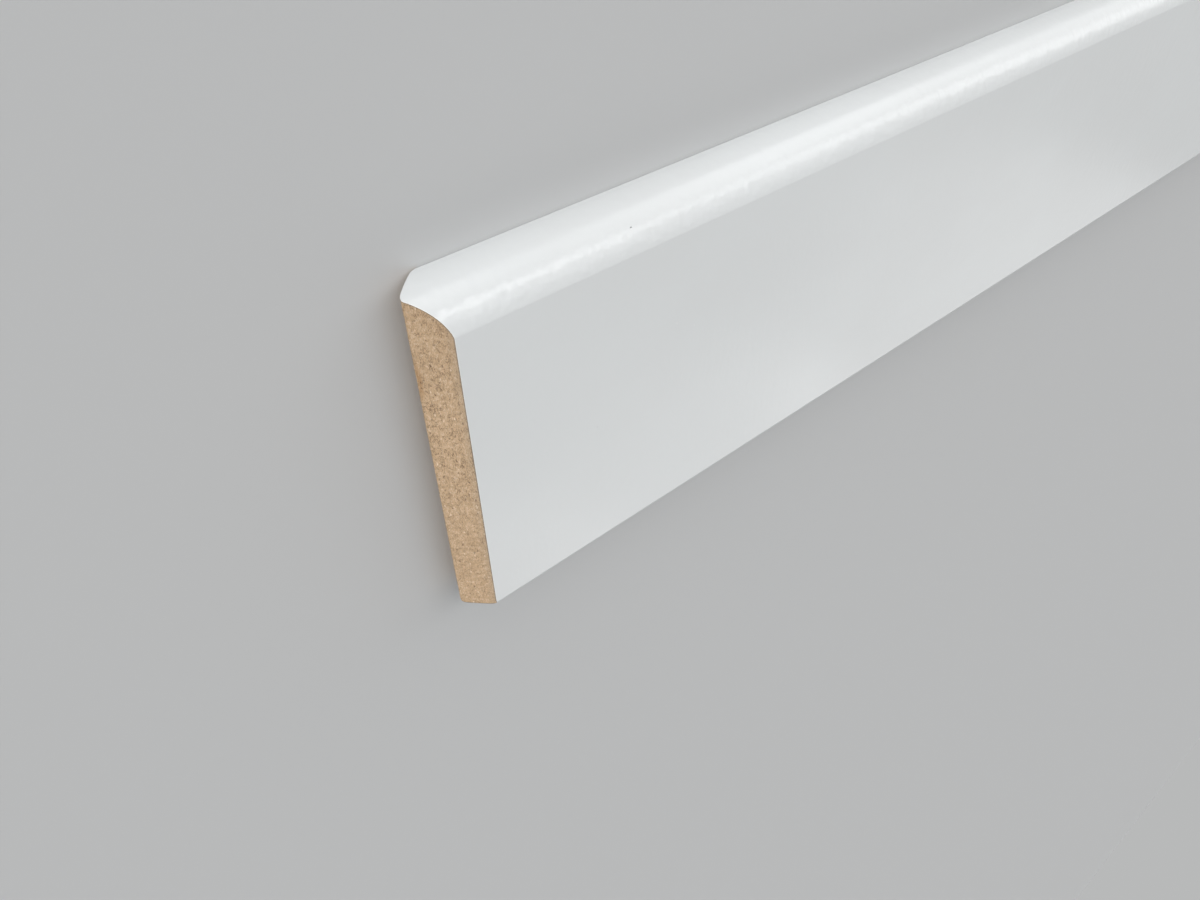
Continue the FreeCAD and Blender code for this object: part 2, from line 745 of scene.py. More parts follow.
@dataclass(frozen=True)
class CoatFinish:
    """White factory coat, smooth and half shiny, with a painted highlight and painted warm
    reflection along its cut edge.
    """

    colour: Colour = (0.728, 0.747, 0.750)
    shade: Colour = (0.714, 0.730, 0.732)
    # Paler, warmer band along the coat's cut edge: painted highlight and painted warm reflection
    # from the raw cut.
    edge_highlight: Colour = (0.84, 0.835, 0.80)
    edge_highlight_width: float = 0.3
    tones: Span = (0.3, 0.7)
    roughness: Span = (0.212, 0.188)
    ior: float = 1.66
    bump: float = 0.12
    ripple: float = 0.14
    wave: float = 0.22
    face_peel: float = 0.4
    nose_peel: float = 1.7
    shoulder_front: Span = (0.02, 0.4)
    shoulder_back: Span = (2.8, 4.6)

    def material(self, groups: SharedGroups, point: float) -> bpy.types.Material:
        """Make the coat.

        Args:
            groups: The shared groups.
            point: Where the upright point of the near end is along the board, in metres.

        Returns:
            The coat's material.
        """
        material, wiring, shader = new_material("white_coat")
        depth = wiring.place(groups.outline)["Depth"]
        peel = wiring.ramp(depth, *self.shoulder_back, self.nose_peel, self.face_peel)
        peel = wiring.ramp(depth, *self.shoulder_front, self.face_peel, peel)
        skin = wiring.place(groups.coat, Peel=peel, Ripple=self.ripple, Wave=self.wave)
        along = wiring.parts(wiring.here())[0]
        cut = point - groups.section.point_depth
        from_cut = wiring.math("MULTIPLY", wiring.math("SUBTRACT", cut, along), 1 / MILLIMETRE)
        from_cut = wiring.math("ADD", from_cut, depth)
        # Band along the cut edge where the highlight is painted into the coat's colour.
        painted_rim = wiring.ramp(from_cut, 0.0, self.edge_highlight_width, 1.0, 0.0)
        colour = wiring.blend(wiring.ramp(skin["Tone"], *self.tones), self.shade, self.colour)
        rough = wiring.ramp(skin["Tone"], *self.tones, *self.roughness)
        wiring.feed(shader["Base Color"], wiring.blend(painted_rim, colour, self.edge_highlight))
        wiring.feed(shader["Roughness"], rough)
        wiring.feed(shader["Normal"], wiring.bump(skin["Height"], self.bump))
        shader["IOR"].default_value = self.ior
        return material


@dataclass(frozen=True)
class CutFinish:
    """Raw cut through pressed wood fibre, browner and denser by the face, with painted shade along
    the coat's outline, in its pits and in its furrows, and painted highlights on fibre crests.
    """

    light: Colour = (0.732, 0.519, 0.33)
    dark: Colour = (0.41, 0.282, 0.171)
    fibre: Fibre = Fibre(0.56, 0.25, 0.9)
    tones: Span = (0.1, 0.9)
    roughness: Span = (0.95, 0.85)
    specular: float = 0.25
    bump: float = 0.25
    bump_strength: float = 0.6
    # Dark furrow lines: painted shade beside the fibre crests, more of it towards the top.
    furrow_shade: Colour = (0.21, 0.142, 0.088)
    furrow_shade_heights: Span = (12.0, 60.0)
    furrow_shade_shares: Span = (0.5, 0.82)
    # Pale colour of the fibre's own flecks, also used for the painted highlights on the crests.
    pale_fleck_and_highlight: Colour = (0.84, 0.67, 0.50)
    highlight_share: float = 0.55
    skin: Colour = (0.41, 0.335, 0.25)
    skin_depths: Span = (0.1, 1.9)
    skin_share: float = 0.32
    # Thin dark line just inside the coated outline: painted shade at the seam of coat and raw
    # fibre.
    painted_rim: Colour = (0.19, 0.165, 0.14)
    painted_rim_reach: Span = (0.06, 0.3)
    painted_rim_share: float = 0.8
    top_heights: Span = (60.0, 90.0)
    top_share: float = 0.18
    bruise: Colour = (0.46, 0.27, 0.13)
    bruise_share: float = 0.8
    # Near-black in the pits: painted shade in the hollows.
    pit: Colour = (0.13, 0.08, 0.05)
    pit_shade_levels: Span = (0.1, 0.6)
    small_pit_shade_share: float = 0.6

    def material(self, groups: SharedGroups) -> bpy.types.Material:
        """Make the raw cut.

        Args:
            groups: The shared groups.

        Returns:
            The cut's material. It reads the point attributes "bruise" and "pitted" as masks.
        """
        material, wiring, shader = new_material("raw_cut")
        fibre = self.fibre.place(wiring, groups)
        place = wiring.place(groups.outline)
        tone = wiring.ramp(fibre["Tone"], *self.tones)
        furrow_shade_share = wiring.ramp(place["Height"], *self.furrow_shade_heights, *self.furrow_shade_shares)
        painted_highlights = wiring.math("MULTIPLY", fibre["Strokes"], self.highlight_share)
        pits = wiring.ramp(wiring.mask("pit_shade"), *self.pit_shade_levels)
        small_pit_shade = wiring.math("MULTIPLY", fibre["Pits"], self.small_pit_shade_share)
        layers = (
            # Painted shade in the furrows, then pale flecks with painted highlights on the crests.
            (wiring.math("MULTIPLY", fibre["Gaps"], furrow_shade_share), self.furrow_shade),
            (wiring.math("MAXIMUM", painted_highlights, fibre["Flecks"]), self.pale_fleck_and_highlight),
            (wiring.ramp(place["Depth"], *self.skin_depths, self.skin_share, 0.0), self.skin),
            # Painted shade along the coated outline.
            (wiring.ramp(place["Inside"], *self.painted_rim_reach, self.painted_rim_share, 0.0), self.painted_rim),
            (wiring.ramp(place["Height"], *self.top_heights, 0.0, self.top_share), self.dark),
            (wiring.math("MULTIPLY", wiring.mask("bruise"), self.bruise_share), self.bruise),
            # Painted shade in the pits.
            (wiring.math("MAXIMUM", pits, small_pit_shade), self.pit),
        )
        colour = wiring.blend(tone, self.dark, self.light)
        for share, over in layers:
            colour = wiring.blend(share, colour, over)
        wiring.feed(shader["Base Color"], colour)
        wiring.feed(shader["Roughness"], wiring.ramp(tone, 0.0, 1.0, *self.roughness))
        normal = wiring.bump(fibre["Height"], self.bump, self.bump_strength)
        wiring.feed(shader["Normal"], normal)
        shader["Specular IOR Level"].default_value = self.specular
        return material


@dataclass(frozen=True)
class BackFinish:
    """Bare sanded back, with coat that has strayed round its long edges."""

    light: Colour = (0.50, 0.385, 0.265)
    dark: Colour = (0.40, 0.30, 0.20)
    fibre: Fibre = Fibre(1.6, 0.5, 0.7)
    tones: Span = (0.2, 0.8)
    bump: float = 0.1
    bump_strength: float = 0.4
    coat: Colour = (0.76, 0.77, 0.765)
    coat_reach: Span = (1.32, 3.3)
    coat_share: float = 0.92
    ragged: Grain = Grain(420.0, 3.0, 0.6)
    ragged_width: float = 2.5
    roughness: Span = (0.72, 0.5)

    def material(self, groups: SharedGroups) -> bpy.types.Material:
        """Make the back.

        Args:
            groups: The shared groups.

        Returns:
            The back's material.
        """
        material, wiring, shader = new_material("sanded_back")
        fibre = self.fibre.place(wiring, groups)
        height = wiring.place(groups.outline)["Height"]
        from_top = wiring.math("SUBTRACT", groups.section.height / MILLIMETRE, height)
        from_edge = wiring.math("MINIMUM", height, from_top)
        ragged = wiring.noise(wiring.here(), self.ragged)
        from_edge = wiring.swing(ragged, self.ragged_width, from_edge)
        strayed = wiring.ramp(from_edge, *self.coat_reach, self.coat_share, 0.0)
        colour = wiring.blend(wiring.ramp(fibre["Tone"], *self.tones), self.dark, self.light)
        wiring.feed(shader["Base Color"], wiring.blend(strayed, colour, self.coat))
        wiring.feed(shader["Roughness"], wiring.ramp(strayed, 0.0, 1.0, *self.roughness))
        normal = wiring.bump(fibre["Height"], self.bump, self.bump_strength)
        wiring.feed(shader["Normal"], normal)
        return material


@dataclass(frozen=True)
class LooseFibreFinish:
    """Fibre ends torn loose by the saw, from tan to pale straw."""

    dark: Colour = (0.42, 0.30, 0.19)
    light: Colour = (0.80, 0.65, 0.48)
    fibre: Fibre = Fibre(0.5, 0.1, 0.8)
    fibre_share: float = 0.4
    roughness: Span = (0.8, 0.65)
    specular: float = 0.3

    def material(self, groups: SharedGroups) -> bpy.types.Material:
        """Make the loose fibre.

        Args:
            groups: The shared groups.

        Returns:
            The fibre's material. It reads the point attribute "tone", from 0 to 1.
        """
        material, wiring, shader = new_material("loose_fibre")
        fibre = self.fibre.place(wiring, groups)
        tone = wiring.swing(fibre["Tone"], self.fibre_share, wiring.mask("tone"))
        wiring.feed(shader["Base Color"], wiring.blend(tone, self.dark, self.light))
        wiring.feed(shader["Roughness"], wiring.ramp(tone, 0.0, 1.0, *self.roughness))
        shader["Specular IOR Level"].default_value = self.specular
        return material


@dataclass(frozen=True)
class NibFinish:
    """Specks of dust caught in the coat."""

    dark: Colour = (0.36, 0.36, 0.37)
    light: Colour = (0.74, 0.755, 0.76)
    tones: Span = (0.3, 0.7)
    roughness: Span = (0.45, 0.4)

    def material(self, groups: SharedGroups) -> bpy.types.Material:
        """Make the specks.

        Args:
            groups: The shared groups.

        Returns:
            The specks' material. It reads the point attribute "tone", from 0 to 1.
        """
        material, wiring, shader = new_material("coated_dust")
        skin = wiring.place(groups.coat)
        colour = wiring.blend(wiring.mask("tone"), self.dark, self.light)
        wiring.feed(shader["Base Color"], colour)
        wiring.feed(shader["Roughness"], wiring.ramp(skin["Tone"], *self.tones, *self.roughness))
        return material


@dataclass
class Board:
    """The board itself: one length of stock, square at one end and pointed at the other."""

    section: Section
    square_end: float
    point: float
    face_mitre: float = math.radians(45.0)
    back_mitre: float = math.radians(47.7)
    point_fullness: float = 0.93 * MILLIMETRE
    point_round: float = 0.54 * MILLIMETRE
    stations: int = 25
    relief: float = 0.07 * MILLIMETRE
    fibre_length: float = 0.9 * MILLIMETRE
    fibre_width: float = 0.45 * MILLIMETRE
    seed: float = 7.0
    hollows: Grain = Grain(1.0, roughness=0.6)
    hollow_levels: Span = (0.62, 0.34)
    tears: Grain = Grain(0.45, detail=1.0)
    tear_levels: Span = (0.70, 0.80)
    tear_depth: float = 2.2
    weld: float = 0.002 * MILLIMETRE
    back_facing: float = -0.9
    sharp_angle: float = math.radians(38.0)

    def start_mesh(self) -> bpy.types.Mesh:
        """Start the board's mesh.

        Returns:
            The section's outline as loose points, in order, at the origin.
        """
        mesh = bpy.data.meshes.new("outline")
        points = [self.section.spot(0.0, depth, height) for depth, height in self.section.outline()]
        mesh.from_pydata(points, [], [])
        return mesh

    def tree(self) -> bpy.types.NodeTree:
        """Build the tree that runs the outline along the stock and closes both ends.

        Returns:
            A tree with named inputs, to run on the outline's points.
        """
        wiring = MeshWiring.group("run_of_moulding")
        wiring.takes("Geometry", "Outline")
        wiring.takes("Int", "Stations", "Columns", "Rows")
        wiring.takes("Float", "Square End", "Point", "Point Depth", "Thickness")
        wiring.takes("Float", "Face Mitre", "Back Mitre", "Point Fullness", "Point Round")
        wiring.takes("Float", "Relief", "Fibre Length", "Fibre Width", "Seed")
        wiring.takes("Material", *(zone.value for zone in Zone))
        run = self.run_grid(wiring)
        near = self.end_grid(wiring, self.near_along)
        near = wiring.add("GeometryNodeFlipFaces", {"Mesh": near}).outputs["Mesh"]
        far = self.end_grid(wiring, lambda _wiring, _out: wiring.asked("Square End"))
        joined = wiring.add("GeometryNodeJoinGeometry")
        for part in (run, self.roughened(wiring, near), self.roughened(wiring, far)):
            wiring.tree.links.new(part, joined.inputs[0])
        inputs = {"Geometry": joined.outputs[0], "Distance": self.weld}
        whole = wiring.add("GeometryNodeMergeByDistance", inputs).outputs["Geometry"]
        wiring.gives("Geometry", Board=wiring.real(self.shaded(wiring, whole)))
        return wiring.tree

    @staticmethod
    def grid(wiring: MeshWiring, wide: Socket, deep: Socket) -> tuple[Socket, Socket, Socket]:
        """Add a flat grid and count its points.

        Args:
            wiring: The tree's wiring.
            wide: Number of steps one way.
            deep: Number of steps the other way.

        Returns:
            The grid, and each point's count of steps both ways.
        """
        inputs = {
            "Size X": wide,
            "Size Y": deep,
            "Vertices X": wiring.math("ADD", wide, 1),
            "Vertices Y": wiring.math("ADD", deep, 1),
        }
        mesh = wiring.add("GeometryNodeMeshGrid", inputs).outputs["Mesh"]
        across, along, _up = wiring.parts(wiring.here())
        column = wiring.math("ROUND", wiring.math("MULTIPLY_ADD", wide, 0.5, across))
        row = wiring.math("ROUND", wiring.math("MULTIPLY_ADD", deep, 0.5, along))
        return mesh, column, row

    @staticmethod
    def outline_count(wiring: MeshWiring) -> Socket:
        """Number of points of the outline."""
        node = wiring.add("GeometryNodeAttributeDomainSize", {0: wiring.asked("Outline")})
        return node.outputs["Point Count"]

    def sampled(self, wiring: MeshWiring, index: Socket) -> Socket:
        """Place of the outline's point with a number, counted round and round.

        Args:
            wiring: The tree's wiring.
            index: The number.

        Returns:
            The point's place.
        """
        inputs = {
            "Geometry": wiring.asked("Outline"),
            "Value": wiring.here(),
            "Index": wiring.math("MODULO", index, self.outline_count(wiring)),
        }
        kind = "GeometryNodeSampleIndex"
        return wiring.add(kind, inputs, data_type="FLOAT_VECTOR", domain="POINT").outputs["Value"]

    @staticmethod
    def laid(wiring: MeshWiring, mesh: Socket, along: Socket, spot: Socket) -> Socket:
        """A mesh set to places along the board and to the Y and Z of a spot."""
        _x, across, out = wiring.parts(spot)
        return wiring.moved(mesh, Position=wiring.combine(along, across, out))

    @staticmethod
    def near_along(wiring: MeshWiring, out: Socket) -> Socket:
        """Where the two mitres cut the near end.

        Args:
            wiring: The tree's wiring.
            out: Each point's Z.

        Returns:
            Each point's X.
        """
        depth = wiring.math("SUBTRACT", wiring.asked("Thickness"), out)
        past = wiring.math("SUBTRACT", depth, wiring.asked("Point Depth"))
        back = wiring.math("MULTIPLY", past, wiring.asked("Back Mitre"))
        back = wiring.math("SUBTRACT", back, wiring.asked("Point Fullness"))
        curve = wiring.vector("LENGTH", wiring.combine(back, wiring.asked("Point Round"), 0.0))
        back = wiring.math("MULTIPLY", wiring.math("ADD", back, curve), 0.5)
        face = wiring.math("MULTIPLY", wiring.asked("Face Mitre"), -1.0)
        face = wiring.math("MULTIPLY", past, face)
        return wiring.math("SUBTRACT", wiring.asked("Point"), wiring.math("MAXIMUM", back, face))

    def run_grid(self, wiring: MeshWiring) -> Socket:
        """The long surfaces, one strip of faces from each station to the next.

        Args:
            wiring: The tree's wiring.

        Returns:
            The surfaces, open at both ends.
        """
        stations, square = wiring.asked("Stations"), wiring.asked("Square End")
        mesh, station, turn = self.grid(wiring, stations, self.outline_count(wiring))
        spot = self.sampled(wiring, turn)
        near = self.near_along(wiring, wiring.parts(spot)[2])
        share = wiring.math("DIVIDE", station, stations)
        along = wiring.math("MULTIPLY_ADD", wiring.math("SUBTRACT", near, square), share, square)
        mesh = wiring.covered(self.laid(wiring, mesh, along, spot), wiring.asked("Coat"))
        inputs = {0: wiring.parts(wiring.facing())[2], 1: self.back_facing}
        behind = wiring.add("FunctionNodeCompare", inputs, operation="LESS_THAN").outputs[0]
        return wiring.covered(mesh, wiring.asked("Back"), behind)

    def end_grid(
        self, wiring: MeshWiring, along: Callable[[MeshWiring, Socket], Socket]
    ) -> Socket:
        """One end of the board, filled with a grid that meets the outline all round.

        Args:
            wiring: The tree's wiring.
            along: Function that turns the wiring and each point's Z into its X.

        Returns:
            The end's surface.
        """
        columns, rows = wiring.asked("Columns"), wiring.asked("Rows")
        mesh, column, row = self.grid(wiring, columns, rows)
        foot = self.sampled(wiring, column)
        last = wiring.math("MULTIPLY_ADD", columns, 2.0, rows)
        top = self.sampled(wiring, wiring.math("SUBTRACT", last, column))
        inputs = {"Factor": wiring.math("DIVIDE", row, rows), 4: foot, 5: top}
        spot = wiring.add("ShaderNodeMix", inputs, data_type="VECTOR").outputs[1]
        inner = self.between(wiring, column, columns)
        inner = wiring.math("MULTIPLY", inner, self.between(wiring, row, rows))
        mesh = wiring.store(mesh, "inner", inner, "POINT")
        mesh = self.laid(wiring, mesh, along(wiring, wiring.parts(spot)[2]), spot)
        return wiring.covered(mesh, wiring.asked("Cut"))

    @staticmethod
    def between(wiring: MeshWiring, count: Socket, most: Socket) -> Socket:
        """Tell a grid's inner points from its first and last ones.

        Args:
            wiring: The tree's wiring.
            count: Each point's count of steps one way.
            most: Number of steps that way.

        Returns:
            1 where the count is neither 0 nor at its most, and otherwise 0.
        """
        above = wiring.math("GREATER_THAN", count, 0.5)
        below = wiring.math("LESS_THAN", count, wiring.math("SUBTRACT", most, 0.5))
        return wiring.math("MULTIPLY", above, below)

    def roughened(self, wiring: MeshWiring, mesh: Socket) -> Socket:
        """Sink a cut's points between its fibres, but never its outline.

        Args:
            wiring: The tree's wiring.
            mesh: The cut.

        Returns:
            The cut with its relief, which only goes inwards.
        """
        across = wiring.math("DIVIDE", 1.0, wiring.asked("Fibre Width"))
        along = wiring.math("DIVIDE", 1.0, wiring.asked("Fibre Length"))
        counted = wiring.vector("MULTIPLY", wiring.here(), wiring.combine(across, along, across))
        counted = wiring.vector("ADD", counted, wiring.asked("Seed"))
        hollow = wiring.ramp(wiring.noise(counted, self.hollows), *self.hollow_levels)
        tear = wiring.noise(counted, self.tears)
        tear = wiring.ramp(tear, *self.tear_levels, 0.0, self.tear_depth)
        sink = wiring.math("MULTIPLY", wiring.math("ADD", hollow, tear), wiring.asked("Relief"))
        inwards = wiring.math("MULTIPLY", wiring.read("inner"), -1.0)
        offset = wiring.scaled(wiring.facing(), wiring.math("MULTIPLY", sink, inwards))
        return wiring.moved(mesh, Offset=offset)

    def shaded(self, wiring: MeshWiring, mesh: Socket) -> Socket:
        """Smooth the faces and keep the cuts' edges sharp.

        Args:
            wiring: The tree's wiring.
            mesh: The whole board.

        Returns:
            The board, with its normals set.
        """
        angle = wiring.add("GeometryNodeInputMeshEdgeAngle").outputs["Unsigned Angle"]
        inputs = {0: angle, 1: self.sharp_angle}
        sharp = wiring.add("FunctionNodeCompare", inputs, operation="GREATER_THAN").outputs[0]
        inputs = {"Geometry": wiring.smooth(mesh), "Selection": sharp, "Shade Smooth": False}
        node = wiring.add("GeometryNodeSetShadeSmooth", inputs, domain="EDGE")
        return node.outputs["Geometry"]

    def build(self, finishes: dict[Zone, bpy.types.Material]) -> bpy.types.Object:
        """Make the board.

        Args:
            finishes: A material for each zone.

        Returns:
            The board as one closed mesh.
        """
        thing = new_object("bullnose_board", self.start_mesh())
        values: dict[str, Value] = {
            "Stations": self.stations,
            "Columns": len(self.section.columns()) - 1,
            "Rows": self.section.rows,
            "Square End": self.square_end,
            "Point": self.point,
            "Point Depth": self.section.point_depth,
            "Thickness": self.section.thickness,
            "Face Mitre": math.tan(self.face_mitre),
            "Back Mitre": math.tan(self.back_mitre),
            "Point Fullness": self.point_fullness,
            "Point Round": self.point_round,
            "Relief": self.relief,
            "Fibre Length": self.fibre_length,
            "Fibre Width": self.fibre_width,
            "Seed": self.seed,
        }
        values.update({zone.value: finishes[zone] for zone in Zone})
        grown(thing, self.tree(), values)
        return thing


@dataclass(frozen=True)
class Pit:
    """A small hole torn out of the face mitre."""

    depth: float
    height: float
    radius: float = 0.32 * MILLIMETRE
    sink: float = 0.3 * MILLIMETRE


@dataclass
class CutMarks:
    """What the saw left on the near end, each mark at its place on the face mitre."""

    board: Board
    pits: tuple[Pit, ...] = (
        Pit(4.46 * MILLIMETRE, 69.44 * MILLIMETRE),
        Pit(2.07 * MILLIMETRE, 49.02 * MILLIMETRE),
        Pit(2.88 * MILLIMETRE, 50.44 * MILLIMETRE),
        Pit(1.48 * MILLIMETRE, 43.97 * MILLIMETRE),
        Pit(0.45 * MILLIMETRE, 47.30 * MILLIMETRE, 0.25 * MILLIMETRE),
        Pit(0.50 * MILLIMETRE, 40.88 * MILLIMETRE, 0.28 * MILLIMETRE),
    )
    chip_low: float = 67.5 * MILLIMETRE
    chip_high: float = 78.5 * MILLIMETRE
    chip_width: float = 0.95 * MILLIMETRE
    chip_sink: float = 0.28 * MILLIMETRE
    corner_width: float = 1.8 * MILLIMETRE
    top_corner_loss: float = 2.0 * MILLIMETRE
    foot_corner_loss: float = 0.4 * MILLIMETRE

    def press(self, thing: bpy.types.Object) -> None:
        """Push the marks into the board's mesh and store where its point is bruised.

        Args:
            thing: The board.
        """
        section = self.board.section
        mesh = thing.data
        bruise = mesh.attributes.new("bruise", "FLOAT", "POINT")
        pit_shade = mesh.attributes.new("pit_shade", "FLOAT", "POINT")
        inner = mesh.attributes["inner"].data
        inwards = Vector((-1.0, 0.0, -1.0)).normalized()
        for vertex in mesh.vertices:
            depth = section.thickness - vertex.co.z
            height = section.height / 2 - vertex.co.y
            if vertex.co.x < 0:
                continue
            vertex.co.x -= self.corner_loss(depth, height)
            if inner[vertex.index].value < 0.5 or depth > section.point_depth + self.chip_width:
                continue
            for pit in self.pits:
                reach = math.hypot((depth - pit.depth) * math.sqrt(2), height - pit.height)
                hollow = self.falloff(reach / pit.radius)
                vertex.co += inwards * (pit.sink * hollow)
                pit_shade.data[vertex.index].value = max(pit_shade.data[vertex.index].value, hollow)
            behind = (depth - section.point_depth) / self.chip_width
            strength = self.chip(height) * self.falloff(behind)
            vertex.co.x -= self.chip_sink * strength
            bruise.data[vertex.index].value = strength

    def corner_loss(self, depth: float, height: float) -> float:
        """How far the end's worn corners fall short of the cut.

        Args:
            depth: Depth of a point of the end.
            height: Its height.

        Returns:
            What the point loses, along the board.
        """
        section = self.board.section
        corners = (
            (section.thickness, section.height, self.top_corner_loss),
            (section.point_depth, 0.0, self.foot_corner_loss),
            (0.0, 0.0, self.foot_corner_loss),
        )
        loss = 0.0
        for corner_depth, corner_height, most in corners:
            reach = math.hypot(depth - corner_depth, height - corner_height)
            loss += most * max(0.0, 1.0 - reach / self.corner_width) ** 2
        return loss

    def chip(self, height: float) -> float:
        """How strongly the point is bruised at a height, from 0 to 1."""
        middle = (self.chip_low + self.chip_high) / 2
        return self.falloff((height - middle) / (self.chip_high - middle)) ** 0.5

    @staticmethod
    def falloff(reach: float) -> float:
        """A smooth drop from 1 at 0 to 0 at 1 and beyond."""
        left = max(0.0, 1.0 - reach * reach)
        return left * left


class Draw(Enum):
    """What is drawn at random for each loose fibre, with its offset from the seed."""

    TURN = 1
    SIZE = 2
    TONE = 3


@dataclass
class LooseFibres:
    """Fibre ends that stand a hair proud of the raw cuts."""

    per_square_metre: float = 1.5e6
    smallest: Triple = (0.05 * MILLIMETRE, 0.25 * MILLIMETRE, 0.04 * MILLIMETRE)
    largest: Triple = (0.14 * MILLIMETRE, 0.85 * MILLIMETRE, 0.10 * MILLIMETRE)
    turn: float = math.radians(35.0)
    inner_level: float = 0.99
    seed: int = 11

    def tree(self) -> bpy.types.NodeTree:
        """Build the tree that scatters fibres over the cuts, most of them along its Y.

        Returns:
            A tree with named inputs, to run on the board's mesh.
        """
        wiring = MeshWiring.group("scattered_fibres")
        wiring.takes("Geometry", "Surface")
        wiring.takes("Material", "On", "Finish")
        wiring.takes("Float", "Per Square Metre", "Turn")
        wiring.takes("Vector", "Smallest", "Largest", "Lowest", "Highest")
        wiring.takes("Int", "Seed")
        on = wiring.add("GeometryNodeMaterialSelection", {"Material": wiring.asked("On")})
        inner = wiring.math("GREATER_THAN", wiring.read("inner"), self.inner_level)
        inputs = {
            "Mesh": wiring.asked("Surface"),
            "Selection": wiring.math("MULTIPLY", on.outputs[0], inner),
            "Density": wiring.asked("Per Square Metre"),
            "Seed": wiring.asked("Seed"),
        }
        points = wiring.add(
            "GeometryNodeDistributePointsOnFaces", inputs, distribute_method="RANDOM"
        )
        inputs = {"Primary Axis": points.outputs["Normal"], "Secondary Axis": (0.0, 1.0, 0.0)}
        upright = wiring.add(
            "FunctionNodeAxesToRotation", inputs, primary_axis="Z", secondary_axis="Y"
        )
        most = wiring.asked("Turn")
        least = wiring.math("MULTIPLY", most, -1.0)
        inputs = {"Axis": (0.0, 0.0, 1.0), "Angle": self.drawn(wiring, Draw.TURN, least, most)}
        spin = wiring.add("FunctionNodeAxisAngleToRotation", inputs)
        inputs = {"Rotation": upright.outputs[0], "Rotate By": spin.outputs[0]}
        turned = wiring.add("FunctionNodeRotateRotation", inputs, rotation_space="LOCAL")
        body = wiring.add("GeometryNodeMeshIcoSphere", {"Radius": 0.5, "Subdivisions": 1})
        smallest, largest = wiring.asked("Smallest"), wiring.asked("Largest")
        inputs = {
            "Points": points.outputs["Points"],
            "Instance": body.outputs["Mesh"],
            "Rotation": turned.outputs[0],
            "Scale": self.drawn(wiring, Draw.SIZE, smallest, largest),
        }
        placed = wiring.add("GeometryNodeInstanceOnPoints", inputs).outputs["Instances"]
        tone = self.drawn(wiring, Draw.TONE, 0.0, 1.0)
        real = wiring.real(wiring.store(placed, "tone", tone, "INSTANCE"))
        kept = wiring.vector("MAXIMUM", wiring.here(), wiring.asked("Lowest"))
        kept = wiring.vector("MINIMUM", kept, wiring.asked("Highest"))
        real = wiring.smooth(wiring.moved(real, Position=kept))
        wiring.gives("Geometry", Scattered=wiring.covered(real, wiring.asked("Finish")))
        return wiring.tree

    @staticmethod
    def drawn(wiring: MeshWiring, draw: Draw, low: Value, high: Value) -> Socket:
        """A random number for each point, or a random vector for its size.

        Args:
            wiring: The tree's wiring.
            draw: What is drawn.
            low: Least value.
            high: Greatest value.

        Returns:
            The socket with what was drawn.
        """
        kind, first, result = ("FLOAT_VECTOR", 0, 0) if draw is Draw.SIZE else ("FLOAT", 2, 1)
        seed = wiring.math("ADD", wiring.asked("Seed"), draw.value)
        inputs = {first: low, first + 1: high, "Seed": seed}
        return wiring.add("FunctionNodeRandomValue", inputs, data_type=kind).outputs[result]

    def build(
        self, board: bpy.types.Object, cut: bpy.types.Material, finish: bpy.types.Material
    ) -> bpy.types.Object:
        """Scatter the fibres.

        Args:
            board: The board whose cuts carry them.
            cut: The material of those cuts.
            finish: The fibres' own material.

        Returns:
            All fibres as one mesh.
        """
        thing = new_object("loose_fibres", board.data.copy())
        axes = list(zip(*(vertex.co for vertex in board.data.vertices)))
        values: dict[str, Value] = {
            "On": cut,
            "Finish": finish,
            "Per Square Metre": self.per_square_metre,
            "Smallest": self.smallest,
            "Largest": self.largest,
            "Turn": self.turn,
            "Lowest": tuple(min(axis) for axis in axes),
            "Highest": tuple(max(axis) for axis in axes),
            "Seed": self.seed,
        }
        grown(thing, self.tree(), values)
        return thing


@dataclass(frozen=True)
class Nib:
    """One speck of dust in the coat, seen in the photograph."""

    from_cut: float
    depth: float
    height: float
    size: float
    tone: float


